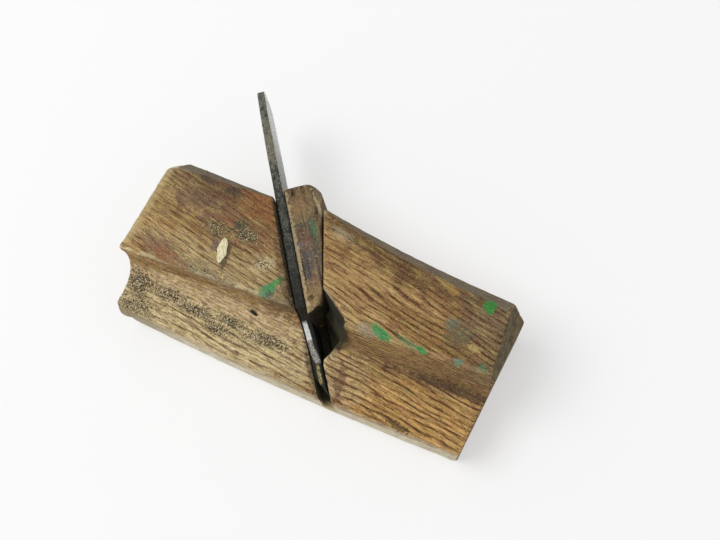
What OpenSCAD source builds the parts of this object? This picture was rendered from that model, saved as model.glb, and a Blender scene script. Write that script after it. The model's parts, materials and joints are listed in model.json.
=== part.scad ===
// Small wooden moulding plane, lying on its blind side.
// +X runs from heel to toe, +Y from sole to top, +Z from the blind side to the open side.
// The origin is on the blind side, at the middle of the body's length and height.

/* [Body] */
// Length of the body along the sole
body_len = 150; // [135:1:190]
// Height of the heel above the sole's lowest point
heel_h = 66.8; // [64:0.1:72]
// Height of the top just in front of the wedge
breast_h = 66.4; // [63:0.1:72]
// Height of the toe
toe_h = 57.6; // [52:0.1:62]
// Thickness across the upper part
body_t = 38; // [35:0.5:50]
// Thickness of the tongue where the hollow's zero line meets the sole
tongue_t = 18.8; // [15:0.1:22]
// Rise of the tongue's side per millimetre of height
tongue_rise = 0.12; // [0:0.01:0.2]
// Fall of the rear top per millimetre of length
rear_fall = 0.078; // [0:0.002:0.1]
// Radius of the concave top between the wedge and the toe
front_top_r = 850; // [500:10:2000]
// Radius of the rounded sole along its length
sole_r = 1650; // [1000:10:4000]
// Angle by which the heel leans backward
heel_lean = 0.7; // [0:0.1:3]
// Angle by which the toe leans forward
toe_lean = 3.8; // [0:0.1:6]
// Angle by which the toe end is out of square and overhangs on the open side
toe_skew = 4.4; // [0:0.1:6]

/* [Shoulder and hollow] */
// Height of the shoulder arris at the heel
shoulder_h = 19.8; // [17:0.1:23]
// Angle by which the shoulder climbs towards the toe
shoulder_climb = 3; // [0:0.1:4]
// Radius of the hollow behind the iron
hollow_r = 12.3; // [9:0.1:14]
// Slant of the wall under the shoulder in front of the iron
band_slant = 3.2; // [1:0.1:5]
// Radius in the corner under that wall
corner_r = 2.5; // [1:0.1:4]

/* [Chamfers] */
// Height of the rear chamfer line at the heel
rear_chamfer_h = 60.4; // [57:0.1:64]
// Angle by which the rear chamfer line climbs
rear_chamfer_climb = 2; // [0:0.1:3]
// Width of the front chamfer at the breast
breast_chamfer = 1.1; // [0.5:0.1:4]
// Width of the front chamfer at the toe
toe_top_chamfer = 4.7; // [1:0.1:7]
// Radius along which the front chamfer's line runs
front_chamfer_r = 380; // [300:10:480]
// Width of the chamfer along the top on the blind side
blind_chamfer = 1.5; // [0.5:0.1:5]
// Width of the toe end's bevel at its upper corner
toe_bevel = 6.8; // [2:0.1:9]
// Angle by which that bevel tips up from upright
toe_bevel_tip = 16.4; // [10:0.1:50]
// Angle by which that bevel is turned upward and widens
toe_bevel_turn = 4.9; // [0:0.1:8]
// Cut across the heel's upper corner
heel_corner = 3.5; // [1:0.1:6]

/* [Throat] */
// Distance from the heel to the foot of the bed
bed_x = 95.3; // [88:0.1:104]
// Angle by which the bed leans back from upright
bed_lean = 37; // [34:0.1:42]
// Clear opening of the mouth in front of the iron
mouth_open = 0.4; // [0.3:0.1:2]
// Angle between the bed and the breast
breast_angle = 11.1; // [9:0.1:14]
// Width of the wedge slot in front of the iron at the breast's foot
breast_foot_w = 7.9; // [6.5:0.1:9]
// Distance up the bed from the sole to the breast's foot
breast_foot_b = 35; // [33:0.1:38]
// Blind cheek beside the wedge slot
slot_cheek = 17; // [12:0.5:19]
// Blind cheek beside the blade
throat_cheek = 3; // [2:0.1:6]
// Distance up the bed to the end of the blade's deeper pocket
pocket_b = 46; // [44:0.5:52]
// Distance up the bed to the lower end of the escapement
escapement_b = 14; // [11:0.1:18]
// Reach of the escapement in front of the bed
escapement_reach = 17.2; // [14:0.1:20]
// Wear of the bed's arris on the open side, at the shoulder
arris_wear = 1.9; // [0.5:0.1:3]
// Angle by which the escapement opens outwards
escapement_flare = 10; // [5:1:16]

/* [Iron] */
// Thickness of the iron
iron_t = 3.9; // [3:0.1:4.5]
// Thickness at the top end of the tang
tang_end_t = 3; // [2:0.1:3]
// Length of the iron along the bed
iron_len = 135; // [120:1:150]
// Length of the thinned end of the tang
tang_thin = 36; // [20:1:48]
// Width of the tang's top end
tang_end_w = 13; // [9:0.5:15]
// Depth of the iron's near edge below the open side
iron_sunk = 2.4; // [1:0.1:5]
// Retreat of the cutting edge inside the mouth
edge_back = 0.8; // [0.2:0.1:2]
// Angle of the bevel at the cutting edge
bevel = 27; // [22:1:40]
// Distance up the bed to the top of the blade
blade_b = 38; // [35:0.5:39]
// Setback of the blade's near edge inside the hollow
blade_setback = 0.8; // [0.4:0.1:2]
// Gap at which iron and wedge rest on their seats
seat_gap = 0.1; // [0.05:0.01:0.2]
// Clearance beside the iron and the wedge
side_clear = 0.4; // [0.2:0.1:1]

/* [Wedge] */
// Length of the wedge
wedge_len = 55; // [50:0.5:62]
// Distance up the bed to the wedge's foot
wedge_foot_b = 27.5; // [27:0.5:30]
// Width of the wedge's foot
wedge_foot_w = 1.6; // [1:0.1:4]
// Length of the slanted cut behind the wedge's foot
wedge_foot_cut = 7; // [4:0.1:9]
// Depth of the wedge's near side below the open side
wedge_sunk = 3; // [1:0.1:6]
// Clearance between wedge and breast at the breast's foot
wedge_clear = 0.35; // [0.3:0.05:0.8]
// Angle that the wedge lacks to fill its slot
wedge_slack = 1.1; // [0.5:0.1:2]
// Radius of the wedge's rounded top corner
wedge_top_r = 7; // [3:0.1:7.5]

/* [Hidden] */
$fn = 96;

over = 1;
big = 400;
centre_h = 32;
wood = [0.66, 0.5, 0.3];
steel = [0.25, 0.25, 0.25];
wedge_wood = [0.56, 0.43, 0.3];

climb = tan(shoulder_climb);
toe_x = body_len + toe_h * tan(toe_lean);
toe_open_x = toe_x + body_t * tan(toe_skew);
slot_top_b = (heel_h + 10) / cos(bed_lean);
mouth_n = iron_t + mouth_open;
breast_foot_n = iron_t + breast_foot_w;
breast_top = [bed_x - breast_h * tan(bed_lean) + 22, breast_h];
rear_end = breast_top[0] - 16;
hollow_y = shoulder_h - hollow_r;
hollow_z = tongue_z(hollow_y) + hollow_r;
iron_near = body_t - iron_sunk;
tang_far = slot_cheek + side_clear;
blade_far = throat_cheek + side_clear;

// Height of the tongue's side at a distance above the shoulder's zero line
function tongue_z(y) = tongue_t + tongue_rise * y;

// Distance up the bed of a point at a distance above the shoulder's zero line
function up_bed(y) = (y + bed_x * climb) / (cos(bed_lean) + sin(bed_lean) * climb);

// Centre of an arc through two points that is hollow towards its upper side
function arc_centre(a, b, r) =
    (a + b) / 2 + [a[1] - b[1], b[0] - a[0]] / norm(b - a) * sqrt(r * r - pow(norm(b - a) / 2, 2));

// Moves from the bench frame, with its zero at the heel's sole corner, to the part's own frame.
module in_place() {
    translate([-body_len / 2, -centre_h, 0]) children();
}

// Moves to the bed's frame: X out from the bed, Y up along it.
module on_bed() {
    translate([bed_x, 0, 0]) rotate([0, 0, bed_lean]) children();
}

// All that lies beyond a plane through a point. The plane faces along +Y, is tipped up by tip
// and is then turned about Z by turn.
module beyond(point, turn, tip) {
    translate(point) rotate([0, 0, turn]) rotate([tip, 0, 0])
        translate([-big / 2, 0, -big / 2]) cube(big);
}

// Side outline of the body before its front top, its toe and its sole are shaped
module side_outline() {
    top = breast_h + over;
    polygon([
        [0, -over],
        [toe_open_x + over, -over],
        [toe_open_x + over, top],
        [rear_end, top],
        [rear_end, heel_h - rear_fall * rear_end],
        [-heel_h * tan(heel_lean), heel_h]
    ]);
}

// Rounded sole: the body is kept inside this long drum.
module sole_form() {
    translate([body_len / 2, sole_r, -over]) cylinder(r = sole_r, h = body_t + 2 * over);
}

// Concave top from the breast to the toe, with its chamfer on the blind side
module front_top_cut() {
    centre = arc_centre(breast_top, [toe_x, toe_h], front_top_r);
    translate([centre[0], centre[1], -over]) cylinder(r = front_top_r, h = body_t + 2 * over);
    translate([centre[0], centre[1], -over])
        cylinder(r1 = front_top_r + blind_chamfer + over, r2 = front_top_r - over, h = blind_chamfer + 2 * over);
}

// Chamfer of the front top on the open side, which widens towards the toe
module front_chamfer() {
    start = breast_top - [0, breast_chamfer];
    end = [toe_x, toe_h - toe_top_chamfer];
    centre = arc_centre(start, end, front_chamfer_r);
    depth = 12;
    translate([centre[0], centre[1], body_t - depth])
        cylinder(r1 = front_chamfer_r - depth, r2 = front_chamfer_r + over, h = depth + over);
}

// Chamfers of the rear top, the toe end with its bevel and the cut across the heel's upper corner
module edge_cuts() {
    intersection() {
        union() {
            beyond([0, rear_chamfer_h, body_t], rear_chamfer_climb, 45);
            beyond([0, heel_h - blind_chamfer, 0], -atan(rear_fall), -45);
        }
        translate([-big / 2, 0, -over]) cube([big / 2 + rear_end, big, body_t + 2 * over]);
    }
    beyond([body_len, 0, 0], -90 - toe_lean, -toe_skew);
    beyond([toe_open_x - toe_bevel, toe_h, body_t], toe_bevel_turn - 90, toe_bevel_tip);
    beyond([0, heel_h - 1.6 * heel_corner, body_t - heel_corner], 40, 30);
}

// Section removed under the shoulder behind the iron, with Y across and Z up
module hollow_section() {
    polygon([[-15, tongue_z(-15)], [hollow_y, tongue_z(hollow_y)], [hollow_y, big], [-15, big]]);
    translate([hollow_y, hollow_z]) circle(r = hollow_r);
    translate([hollow_y - over, hollow_z]) square([hollow_r + over, big]);
}

// Section removed under the shoulder in front of the iron
module band_section() {
    wall_y = shoulder_h - band_slant;
    corner_y = wall_y - corner_r;
    corner_z = tongue_z(corner_y) + corner_r;
    polygon([[-15, tongue_z(-15)], [corner_y, corner_z - corner_r], [corner_y, big], [-15, big]]);
    translate([corner_y, corner_z]) circle(r = corner_r);
    polygon([
        [corner_y - over, corner_z],
        [wall_y, corner_z],
        [shoulder_h, body_t],
        [shoulder_h, big],
        [corner_y - over, big]
    ]);
}

// Carries a section along the body from one length to another, climbing with the shoulder.
module along_shoulder(from_x, to_x) {
    rotate([0, 0, shoulder_climb]) translate([from_x, 0, 0])
        rotate([90, 0, 90]) linear_extrude(height = to_x - from_x) children();
}

module shoulder_cut() {
    along_shoulder(-20, bed_x + over) hollow_section();
    along_shoulder(bed_x, body_len + 20) band_section();
}

// Side view of the slot that holds tang and wedge, in the bed's frame
module slot_outline() {
    polygon([
        [0, -10],
        [mouth_n, -10],
        [mouth_n, escapement_b],
        [breast_foot_n, wedge_foot_b - 1.5],
        [breast_foot_n, breast_foot_b],
        [breast_foot_n + (slot_top_b - breast_foot_b) * tan(breast_angle), slot_top_b],
        [0, slot_top_b]
    ]);
}

// Side view of the deeper pocket that holds the blade, in the bed's frame
module pocket_outline() {
    polygon([
        [0, -10],
        [mouth_n, -10],
        [mouth_n, escapement_b],
        [mouth_n + 3, escapement_b + 6],
        [mouth_n + 3, pocket_b - 5],
        [mouth_n, pocket_b],
        [0, pocket_b]
    ]);
}

// Opening before the blade that throws the shavings out to the open side
module escapement() {
    tip_b = escapement_b + 6;
    floor_z = throat_cheek + 4;
    intersection() {
        on_bed() translate([iron_t, -10, floor_z]) cube(big);
        on_bed() translate([escapement_reach, 0, body_t]) rotate([0, escapement_flare, 0])
            translate([0, 0, -big / 2]) linear_extrude(height = big)
                polygon([
                    [-escapement_reach, escapement_b - 2],
                    [mouth_n - escapement_reach, escapement_b - 2],
                    [-2.4, tip_b - 1.8],
                    [-0.6, tip_b - 0.6],
                    [0, tip_b + 0.4],
                    [-0.2, tip_b + 1.4],
                    [breast_foot_n - escapement_reach, breast_foot_b],
                    [-escapement_reach, breast_foot_b]
                ]);
    }
}

// Worn arris of the bed on the open side, widest at the shoulder and gone at the top
module worn_arris() {
    top_b = 80;
    low_b = up_bed(shoulder_h);
    fall = 2.1 * arris_wear;
    on_bed() intersection() {
        translate([0, top_b, body_t]) rotate([0, 0, -atan(arris_wear / (top_b - low_b))])
            rotate([0, atan(fall / arris_wear), 0]) translate([-big / 2, -big / 2, 0]) cube(big);
        translate([-2 * arris_wear, -big / 2, throat_cheek]) cube([2 * arris_wear + iron_t, big / 2 + top_b, big]);
    }
}

module stock() {
    color(wood) in_place() difference() {
        intersection() {
            linear_extrude(height = body_t) side_outline();
            sole_form();
        }
        front_top_cut();
        front_chamfer();
        edge_cuts();
        shoulder_cut();
        on_bed() translate([0, 0, slot_cheek]) linear_extrude(height = big) slot_outline();
        on_bed() translate([0, 0, throat_cheek]) linear_extrude(height = big) pocket_outline();
        escapement();
        worn_arris();
    }
}

// Outline of the iron in its own plane, with X up the bed and Y across the body.
// The blade reaches across the sole and its near edge follows the hollow up to the tang.
module iron_outline() {
    end_far = (iron_near + tang_far - tang_end_w) / 2;
    edge_r = hollow_r + blade_setback;
    polygon([
        [edge_back, blade_far],
        [blade_b - 8, blade_far],
        [blade_b, tang_far],
        [iron_len - 28, tang_far],
        [iron_len - 14, tang_far + 1.6],
        [iron_len - 4, end_far + 0.2],
        [iron_len - 1, end_far + 1.6],
        [iron_len, end_far + 4],
        [iron_len, iron_near - 2.6],
        [iron_len - 0.8, iron_near - 0.9],
        [iron_len - 3, iron_near - 0.2],
        [iron_len - 14, iron_near],
        [up_bed(hollow_y + edge_r), iron_near],
        for (a = [75:-15:0]) [up_bed(hollow_y + edge_r * sin(a)), hollow_z - edge_r * cos(a)],
        [edge_back, tongue_z(-bed_x * climb) - blade_setback]
    ]);
}

// Cut that thins the back of the tang towards its end, seen from the side in the bed's frame
module tang_thinning() {
    polygon([
        [seat_gap - over, iron_len - tang_thin],
        [seat_gap, iron_len - tang_thin],
        [seat_gap + iron_t - tang_end_t, iron_len + over],
        [seat_gap - over, iron_len + over]
    ]);
}

// Bevel ground on the back of the blade, seen from the side in the bed's frame
module cutting_bevel() {
    polygon([
        [-over, edge_back - over],
        [iron_t, edge_back - over],
        [iron_t, edge_back],
        [seat_gap, edge_back + (iron_t - seat_gap) / tan(bevel)],
        [-over, edge_back + (iron_t - seat_gap) / tan(bevel)]
    ]);
}

module iron() {
    color(steel) in_place() on_bed() difference() {
        translate([seat_gap, 0, 0]) rotate([90, 0, 90])
            linear_extrude(height = iron_t - seat_gap) iron_outline();
        translate([0, 0, -over]) linear_extrude(height = big) tang_thinning();
        translate([0, 0, -over]) linear_extrude(height = big) cutting_bevel();
    }
}

// Side view of the wedge in the bed's frame
module wedge_outline() {
    back = iron_t + seat_gap;
    slope = tan(breast_angle - wedge_slack);
    front = breast_foot_n - wedge_clear - (breast_foot_b - wedge_foot_b) * slope;
    cut_n = front + wedge_foot_cut * slope;
    top_b = wedge_foot_b + wedge_len;
    top_corner_n = front + wedge_len * slope - wedge_top_r - 1;
    intersection() {
        polygon([
            [back, wedge_foot_b],
            [back + wedge_foot_w, wedge_foot_b],
            [cut_n, wedge_foot_b + wedge_foot_cut],
            [front + wedge_len * slope, top_b],
            [back, top_b]
        ]);
        union() {
            square([big, top_b - wedge_top_r]);
            square([top_corner_n, top_b]);
            translate([top_corner_n, top_b - wedge_top_r]) circle(r = wedge_top_r);
        }
    }
}

module wedge() {
    color(wedge_wood) in_place() on_bed() translate([0, 0, tang_far])
        linear_extrude(height = body_t - wedge_sunk - tang_far) wedge_outline();
}

stock();
iron();
wedge();
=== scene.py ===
"""Dressed scene of a small wooden moulding plane that lies on its blind side.

Sizes and places are in millimetres in the part's own frame: +X from heel to toe, +Y from
sole to top, +Z from the blind side to the open side. Meshes are made in metres.
"""

import json
import logging
import math
import random
from dataclasses import dataclass
from enum import Enum
from functools import reduce

import bpy
import numpy as np
from mathutils import Euler, Matrix, Vector, noise
from mathutils.bvhtree import BVHTree

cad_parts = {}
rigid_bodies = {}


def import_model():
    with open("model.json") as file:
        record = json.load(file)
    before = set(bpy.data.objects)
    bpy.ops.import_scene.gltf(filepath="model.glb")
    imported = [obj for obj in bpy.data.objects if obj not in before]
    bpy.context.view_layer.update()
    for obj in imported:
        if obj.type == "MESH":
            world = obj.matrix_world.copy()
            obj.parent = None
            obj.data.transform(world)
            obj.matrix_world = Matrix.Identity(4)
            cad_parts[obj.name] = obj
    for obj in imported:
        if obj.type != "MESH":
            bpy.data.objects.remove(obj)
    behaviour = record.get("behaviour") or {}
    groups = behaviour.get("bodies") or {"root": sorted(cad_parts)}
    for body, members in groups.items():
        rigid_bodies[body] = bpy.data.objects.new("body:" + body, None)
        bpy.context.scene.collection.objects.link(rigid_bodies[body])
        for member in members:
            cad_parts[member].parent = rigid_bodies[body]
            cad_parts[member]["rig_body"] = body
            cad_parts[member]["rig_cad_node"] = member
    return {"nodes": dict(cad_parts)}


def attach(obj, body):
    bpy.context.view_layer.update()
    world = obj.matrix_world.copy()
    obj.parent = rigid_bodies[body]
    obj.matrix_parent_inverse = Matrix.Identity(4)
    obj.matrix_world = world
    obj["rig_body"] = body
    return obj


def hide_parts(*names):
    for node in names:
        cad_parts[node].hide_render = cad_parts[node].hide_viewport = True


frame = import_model()

MM = 0.001
GRAINS = (0.95, 1.3, 2.0, 3.5, 6.0)
BED_FOOT = (20.3, -32.0)
BED_LEAN = math.radians(37.0)

LOG = logging.getLogger("moulding_plane")

Point = tuple[float, float, float]
Colour = tuple[float, float, float, float]


def tint(red: float, green: float, blue: float) -> Colour:
    """Turns a colour as it is seen, 0 to 255 a channel, into the linear one that shaders use.

    Args:
        red: Red as seen.
        green: Green as seen.
        blue: Blue as seen.

    Returns:
        The linear colour with full opacity.
    """
    def linear(channel: float) -> float:
        """Linear value of one channel."""
        share = channel / 255
        return share / 12.92 if share <= 0.04045 else ((share + 0.055) / 1.055) ** 2.4

    return (linear(red), linear(green), linear(blue), 1.0)


def on_bed(out: float, up: float, height: float) -> Point:
    """Finds a place that is given along the bed.

    Args:
        out: Distance out from the bed, towards the toe.
        up: Distance up along the bed from the sole.
        height: Height above the blind side.

    Returns:
        The place in the part's frame.
    """
    along, across = math.sin(BED_LEAN), math.cos(BED_LEAN)
    return (BED_FOOT[0] + out * across - up * along, BED_FOOT[1] + out * along + up * across, height)


class Blend(Enum):
    """How a colour is laid over another."""

    OVER = "MIX"
    DARKEN = "MULTIPLY"
    SOFT = "SOFT_LIGHT"


class Edge(Enum):
    """How the edge of a stain looks: width of its fading rim, and how far it strays."""

    FADED = (0.55, 0.35)
    UNEVEN = (0.3, 0.9)
    RAGGED = (0.12, 1.1)
    BRUSHED = (0.28, 0.8)
    CRUMBLED = (0.2, 2.2)
    ROUND = (0.3, 0.6)


class Socket:
    """A shader socket that takes part in Python arithmetic."""

    def __init__(self, graph: "Graph", plug: bpy.types.NodeSocket) -> None:
        """Keeps the graph and the output socket."""
        self.graph = graph
        self.plug = plug

    @property
    def is_vector(self) -> bool:
        """True for a vector or a colour."""
        return self.plug.type in {"VECTOR", "RGBA"}

    def other(self, name: str | int) -> "Socket":
        """Another output of the same node."""
        return Socket(self.graph, self.plug.node.outputs[name])

    def _join(self, operation: str, first: "Socket | float", second: "Socket | float") -> "Socket":
        """Adds a maths node of the right kind.

        Args:
            operation: The node's operation.
            first: Left side.
            second: Right side.

        Returns:
            The result.
        """
        vector = any(isinstance(side, Socket) and side.is_vector for side in (first, second))
        if not vector:
            return self.graph.node("ShaderNodeMath", {"operation": operation}, {0: first, 1: second})
        sides = [(side,) * 3 if isinstance(side, (int, float)) else side for side in (first, second)]
        return self.graph.node("ShaderNodeVectorMath", {"operation": operation}, dict(enumerate(sides)))

    def __add__(self, value: "Socket | float") -> "Socket":
        """Sum."""
        return self._join("ADD", self, value)

    def __radd__(self, value: float) -> "Socket":
        """Sum, reflected."""
        return self._join("ADD", value, self)

    def __sub__(self, value: "Socket | float") -> "Socket":
        """Difference."""
        return self._join("SUBTRACT", self, value)

    def __rsub__(self, value: float) -> "Socket":
        """Difference, reflected."""
        return self._join("SUBTRACT", value, self)

    def __mul__(self, value: "Socket | float | Point") -> "Socket":
        """Product."""
        return self._join("MULTIPLY", self, value)

    def __rmul__(self, value: float) -> "Socket":
        """Product, reflected."""
        return self._join("MULTIPLY", value, self)

    def __truediv__(self, value: "Socket | float") -> "Socket":
        """Quotient."""
        return self._join("DIVIDE", self, value)

    def __pow__(self, value: float) -> "Socket":
        """Power."""
        return self._join("POWER", self, value)


class Graph:
    """The node tree of one material or of the world."""

    def __init__(self, owner: bpy.types.Material | bpy.types.World) -> None:
        """Empties the owner's node tree."""
        self.owner = owner
        owner.use_nodes = True
        self.tree = owner.node_tree
        self.tree.nodes.clear()
        self.kept: dict[tuple, Socket] = {}

    @classmethod
    def named(cls, name: str) -> "Graph":
        """The graph of a new material of that name."""
        return cls(bpy.data.materials.new(name))

    def node(self, kind: str, settings: dict | None = None, inputs: dict | None = None) -> Socket:
        """Adds a node, sets it up and feeds its inputs.

        Args:
            kind: Type of the node.
            settings: The node's own settings, which are set first.
            inputs: Values or sockets by the input's name or number.

        Returns:
            The node's first output that is in use.
        """
        made = self.tree.nodes.new(kind)
        for name, value in (settings or {}).items():
            setattr(made, name, value)
        for name, value in (inputs or {}).items():
            if isinstance(value, Socket):
                self.tree.links.new(value.plug, made.inputs[name])
            else:
                made.inputs[name].default_value = value
        used = [plug for plug in made.outputs if plug.enabled]
        return Socket(self, used[0] if used else made.inputs[0])

    def millimetres(self) -> Socket:
        """Object coordinates in millimetres."""
        place = self.node("ShaderNodeTexCoord").other("Object")
        return place * (1 / MM)

    def mark(self, name: str) -> Socket:
        """A number that the mesh carries at each point."""
        return self.node("ShaderNodeAttribute", {"attribute_name": name}).other("Fac")

    def facing(self, way: Point) -> Socket:
        """How far the surface faces a way, from -1 to 1."""
        normal = self.node("ShaderNodeNewGeometry").other("Normal")
        return self.node("ShaderNodeVectorMath", {"operation": "DOT_PRODUCT"}, {0: normal, 1: way}).other("Value")

    def turned(self, place: Socket, degrees: float, foot: Point = (0, 0, 0)) -> Socket:
        """Coordinates from a foot, turned about Z, so that X runs along a line at that angle."""
        turn = (0, 0, math.radians(degrees))
        return self.node("ShaderNodeMapping", {"vector_type": "TEXTURE"},
                         {"Vector": place, "Location": foot, "Rotation": turn})

    def shared_turn(self, place: Socket, degrees: float) -> Socket:
        """Coordinates turned about Z, made once for each angle, which keeps the shader small."""
        key = ("turn", place.plug.node.name, degrees)
        if key not in self.kept:
            self.kept[key] = self.turned(place, degrees) + 0.0 if degrees else place
        return self.kept[key]

    def shared_noise(self, place: Socket, grain: float) -> Socket:
        """Noise about as fine as asked for, made once for each size in GRAINS."""
        size = min(GRAINS, key=lambda known: abs(math.log(known / grain)))
        key = ("noise", place.plug.node.name, size)
        if key not in self.kept:
            self.kept[key] = self.noise(place, (size,) * 3, 3.0, 0.6) - 0.5
        return self.kept[key]

    def on_bed(self, place: Socket) -> tuple[Socket, Socket]:
        """Distance out from the bed and distance up along it."""
        out, up, _ = self.split(self.turned(place, math.degrees(BED_LEAN), (*BED_FOOT, 0)))
        return out, up

    def split(self, vector: Socket) -> tuple[Socket, Socket, Socket]:
        """The three parts of a vector."""
        parts = self.node("ShaderNodeSeparateXYZ", None, {0: vector})
        return parts.other("X"), parts.other("Y"), parts.other("Z")

    def join(self, across: Socket, along: Socket, height: Socket) -> Socket:
        """A vector of three parts."""
        return self.node("ShaderNodeCombineXYZ", None, {0: across, 1: along, 2: height})

    def between(self, value: Socket, low: float, high: float, soft: float) -> Socket:
        """1 where the value lies between two bounds, with soft flanks."""
        return self.rise(value, low - soft, low + soft) * self.rise(value, high + soft, high - soft)

    def scatter(self, place: Socket, cells: Point, detail: float = 2.0) -> Socket:
        """Noise with three parts, for moving a pattern about."""
        scaled = place * tuple(1 / length for length in cells)
        return self.node("ShaderNodeTexNoise", None,
                         {"Vector": scaled, "Scale": 1.0, "Detail": detail}).other("Color") - 0.5

    def most(self, first: Socket, second: "Socket | float") -> Socket:
        """The larger of two numbers."""
        return self.node("ShaderNodeMath", {"operation": "MAXIMUM"}, {0: first, 1: second})

    def least(self, first: Socket, second: "Socket | float") -> Socket:
        """The smaller of two numbers."""
        return self.node("ShaderNodeMath", {"operation": "MINIMUM"}, {0: first, 1: second})

    def seen(self) -> Socket:
        """1 for rays from the camera, a reflection or glass, 0 for the light's own rays."""
        path = self.node("ShaderNodeLightPath")
        camera, glossy, glass = (path.other(f"Is {kind} Ray") for kind in ("Camera", "Glossy", "Transmission"))
        return self.most(self.most(camera, glossy), glass)

    def noise(self, place: Socket, cells: Point, detail: float = 2.0, rough: float = 0.5) -> Socket:
        """Noise whose cells have the given lengths in millimetres.

        Args:
            place: Coordinates in millimetres.
            cells: Length of a cell along each axis.
            detail: Octaves.
            rough: Share of the finer octaves.

        Returns:
            The noise, about 0.3 to 0.7.
        """
        scaled = place * tuple(1 / length for length in cells)
        return self.node("ShaderNodeTexNoise", None,
                         {"Vector": scaled, "Scale": 1.0, "Detail": detail, "Roughness": rough})

    def rise(self, value: Socket, low: float, high: float) -> Socket:
        """Smooth step from 0 at low to 1 at high."""
        if low > high:
            return 1 - self.rise(value, high, low)
        return self.node("ShaderNodeMapRange", {"interpolation_type": "SMOOTHSTEP"},
                         {"Value": value, "From Min": low, "From Max": high})

    def mix(self, share: "Socket | float", first: "Socket | Colour", second: "Socket | Colour",
            blend: Blend = Blend.OVER) -> Socket:
        """Lays the second colour over the first.

        Args:
            share: How much of the second colour shows.
            first: Colour below.
            second: Colour above.
            blend: How it is laid over.

        Returns:
            The mixed colour.
        """
        settings = {"data_type": "RGBA", "blend_type": blend.value, "clamp_factor": True}
        return self.node("ShaderNodeMix", settings, {0: share, 6: first, 7: second})

    def surface(self, colour: Socket, roughness: "Socket | float", height: Socket | None = None,
                metallic: "Socket | float" = 0.0, specular: float = 0.5,
                painted_shade: Socket | None = None) -> bpy.types.Material:
        """Closes the graph with the shader.

        Args:
            colour: Base colour.
            roughness: Roughness.
            height: Relief in millimetres.
            metallic: Share of bare metal.
            specular: Strength of the gloss.
            painted_shade: Where the surface is painted black and without any gloss, as painted shade on a hole's
                wall.

        Returns:
            The finished material.
        """
        inputs = {"Base Color": colour, "Roughness": roughness, "Metallic": metallic,
                  "Specular IOR Level": specular}
        if height is not None:
            inputs["Normal"] = self.node("ShaderNodeBump", None, {"Strength": 1.0, "Distance": MM, "Height": height})
        shader = self.node("ShaderNodeBsdfPrincipled", None, inputs)
        if painted_shade is not None:
            # Painted shade: a black shader without gloss where the mask says.
            dead = self.node("ShaderNodeBsdfPrincipled", None,
                             {"Base Color": BLACK, "Roughness": 1.0, "Specular IOR Level": 0.0})
            shader = self.node("ShaderNodeMixShader", None, {0: painted_shade, 1: shader, 2: dead})
        self.node("ShaderNodeOutputMaterial", None, {"Surface": shader})
        return self.owner


@dataclass(frozen=True)
class Stain:
    """A patch of another colour: an ellipsoid round a place on the surface."""

    at: Point
    size: Point
    colour: Colour
    strength: float = 1.0
    turn: float = 0.0
    edge: Edge = Edge.FADED
    grain: float = 3.0

    def cover(self, graph: Graph, place: Socket) -> Socket:
        """Share of the surface that the stain covers.

        Args:
            graph: The material's graph.
            place: Coordinates in millimetres.

        Returns:
            The share, from 0 to the stain's strength.
        """
        rim, stray = self.edge.value
        middle = Matrix.Rotation(math.radians(-self.turn), 3, "Z") @ Vector(self.at)
        local = (graph.shared_turn(place, self.turn) - tuple(middle)) * tuple(1 / half for half in self.size)
        reach = graph.node("ShaderNodeVectorMath", {"operation": "LENGTH"}, {0: local}).other("Value")
        wander = graph.shared_noise(place, self.grain)
        return graph.rise(reach + wander * (2 * stray), 1 + rim, 1 - rim) * self.strength

    def lay(self, graph: Graph, place: Socket, below: Socket) -> Socket:
        """Lays the stain over a colour."""
        return graph.mix(self.cover(graph, place), below, self.colour)


@dataclass(frozen=True)
class Grain:
    """How the fibres, pores and growth rings of a piece run.

    The grain dips by one slope low in the piece and by another high in it. Its streaks grow
    bolder and longer from the first to the second place along it.
    """

    run: float
    pitch: float
    pith: tuple[float, float]
    dash: float
    wander: float
    dips: tuple[float, float] = (0.0, 0.0)
    heights: tuple[float, float] = (0.0, 1.0)
    bold: tuple[float, float] = (-1001.0, -1000.0)

    def draw(self, graph: Graph, place: Socket) -> tuple[Socket, Socket, Socket, Socket]:
        """Draws the grain.

        Args:
            graph: The material's graph.
            place: Coordinates in millimetres.

        Returns:
            Dark streaks, fine fibres, broad tone and drift of hue, each about 0 to 1.
        """
        along, across, deep = graph.split(graph.turned(place, self.run))
        low, high = self.dips
        dip = low + graph.rise(deep, *self.heights) * (high - low)
        flow = graph.join(along, across + along * dip, deep)
        wander = 2 * self.wander
        bent = flow + graph.scatter(flow, (28, 10, 10), 1.5) * (0.0, wander, wander)
        bent = bent + graph.scatter(flow, (11, 2.4, 2.4), 3.0) * (0.0, 0.85, 0.85)
        _, across, deep = graph.split(bent)
        across, deep = across - self.pith[0], deep - self.pith[1]
        ring = graph.node("ShaderNodeMath", {"operation": "SQRT"}, {0: across * across + deep * deep})
        phase = graph.node("ShaderNodeMath", {"operation": "FRACT"}, {0: ring / self.pitch})
        band = graph.rise(phase, 0.0, 0.16) * graph.rise(phase, 0.6, 0.3)
        bold = graph.rise(along, *self.bold)
        dash = graph.rise(graph.noise(bent, (self.dash * 0.8, 0.9, 0.9), 2.0), 0.42, 0.56)
        steady = 0.08 + bold * 0.3
        pores = graph.rise(graph.noise(bent, (self.dash * 0.4, 0.5, 0.5), 1.0), 0.56, 0.68)
        streak = band * (steady + dash * (1 - steady)) * (0.66 + bold * 0.3) + pores * 0.55
        fibre = graph.noise(flow, (self.dash, 0.55, 0.55), 3.0, 0.65)
        tone = graph.noise(bent, (50.0, 6.0, 6.0), 2.0)
        hue = graph.noise(bent, (6.0, 1.5, 1.5), 2.0)
        return streak, fibre, tone, hue


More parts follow.
